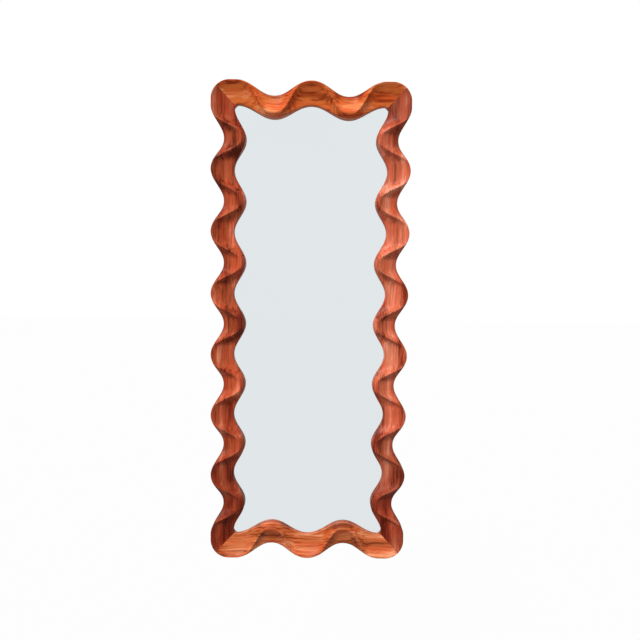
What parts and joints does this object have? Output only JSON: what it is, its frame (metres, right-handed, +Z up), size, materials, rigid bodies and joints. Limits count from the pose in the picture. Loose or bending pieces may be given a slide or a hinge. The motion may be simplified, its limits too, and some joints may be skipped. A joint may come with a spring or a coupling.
{
  "type": "wall mirror",
  "caption": "Tall wall mirror in a carved, wavy red-brown wooden frame with mitred corners, a backing board held by turn buttons, and strap hangers with swinging rings.",
  "frame": {"origin": "middle of the wall plane that the four rubber bumpers touch", "axes": "+X to the viewer's right, +Y into the wall, +Z up; the glass faces -Y"},
  "size_m": [0.7, 0.06, 1.7],
  "materials": {
    "stile_wood": "satin red-brown stain, grain upright",
    "rail_wood": "satin red-brown stain, grain across",
    "silvered_glass": "polished",
    "board": "pressed board, smooth brown face",
    "dowel_wood": "plain beech",
    "bumper_rubber": "matt black",
    "block_rubber": "matt black",
    "screw_steel": "zinc plated",
    "plate_steel": "zinc plated",
    "button_steel": "zinc plated",
    "strap_steel": "zinc plated",
    "ring_steel": "zinc plated"
  },
  "bodies": {
    "frame": {"backing_board": "board", "bottom_rail": "rail_wood", "bumper_bottom_left": "bumper_rubber", "bumper_bottom_right": "bumper_rubber", "bumper_top_left": "bumper_rubber", "bumper_top_right": "bumper_rubber", "corner_plate_bottom_left": "plate_steel", "corner_plate_bottom_right": "plate_steel", "corner_plate_screws": "screw_steel", "corner_plate_top_left": "plate_steel", "corner_plate_top_right": "plate_steel", "edge_spacers": "block_rubber", "hanger_screws": "screw_steel", "hanger_strap_left": "strap_steel", "hanger_strap_right": "strap_steel", "left_stile": "stile_wood", "mirror_pane": "silvered_glass", "mitre_dowels": "dowel_wood", "right_stile": "stile_wood", "setting_blocks": "block_rubber", "top_rail": "rail_wood", "turn_button_screws": "screw_steel"},
    "hanger_ring_left": {"hanger_ring_left": "ring_steel"},
    "hanger_ring_right": {"hanger_ring_right": "ring_steel"},
    "turn_button_bottom": {"turn_button_bottom": "button_steel"},
    "turn_button_left_1": {"turn_button_left_1": "button_steel"},
    "turn_button_left_2": {"turn_button_left_2": "button_steel"},
    "turn_button_left_3": {"turn_button_left_3": "button_steel"},
    "turn_button_left_4": {"turn_button_left_4": "button_steel"},
    "turn_button_right_1": {"turn_button_right_1": "button_steel"},
    "turn_button_right_2": {"turn_button_right_2": "button_steel"},
    "turn_button_right_3": {"turn_button_right_3": "button_steel"},
    "turn_button_right_4": {"turn_button_right_4": "button_steel"},
    "turn_button_top": {"turn_button_top": "button_steel"}
  },
  "joints": [
    {"name": "hanger_ring_left_swing", "type": "hinge", "parent": "frame", "child": "hanger_ring_left", "pos_m": [-0.32, -0.0049, 0.32657], "axis": [-1, 0, 0], "range_deg": [0, 170]},
    {"name": "hanger_ring_right_swing", "type": "hinge", "parent": "frame", "child": "hanger_ring_right", "pos_m": [0.32, -0.0049, 0.32657], "axis": [-1, 0, 0], "range_deg": [0, 170]},
    {"name": "turn_button_bottom_turn", "type": "hinge", "parent": "frame", "child": "turn_button_bottom", "pos_m": [0, -0.008, -0.8], "axis": [0, 1, 0], "continuous": true},
    {"name": "turn_button_left_1_turn", "type": "hinge", "parent": "frame", "child": "turn_button_left_1", "pos_m": [-0.3, -0.008, 0.54429], "axis": [0, 1, 0], "continuous": true},
    {"name": "turn_button_left_2_turn", "type": "hinge", "parent": "frame", "child": "turn_button_left_2", "pos_m": [-0.3, -0.008, 0.10886], "axis": [0, 1, 0], "continuous": true},
    {"name": "turn_button_left_3_turn", "type": "hinge", "parent": "frame", "child": "turn_button_left_3", "pos_m": [-0.3, -0.008, -0.10886], "axis": [0, 1, 0], "continuous": true},
    {"name": "turn_button_left_4_turn", "type": "hinge", "parent": "frame", "child": "turn_button_left_4", "pos_m": [-0.3, -0.008, -0.54429], "axis": [0, 1, 0], "continuous": true},
    {"name": "turn_button_right_1_turn", "type": "hinge", "parent": "frame", "child": "turn_button_right_1", "pos_m": [0.3, -0.008, 0.54429], "axis": [0, 1, 0], "continuous": true},
    {"name": "turn_button_right_2_turn", "type": "hinge", "parent": "frame", "child": "turn_button_right_2", "pos_m": [0.3, -0.008, 0.10886], "axis": [0, 1, 0], "continuous": true},
    {"name": "turn_button_right_3_turn", "type": "hinge", "parent": "frame", "child": "turn_button_right_3", "pos_m": [0.3, -0.008, -0.10886], "axis": [0, 1, 0], "continuous": true},
    {"name": "turn_button_right_4_turn", "type": "hinge", "parent": "frame", "child": "turn_button_right_4", "pos_m": [0.3, -0.008, -0.54429], "axis": [0, 1, 0], "continuous": true},
    {"name": "turn_button_top_turn", "type": "hinge", "parent": "frame", "child": "turn_button_top", "pos_m": [0, -0.008, 0.8], "axis": [0, 1, 0], "continuous": true}
  ]
}
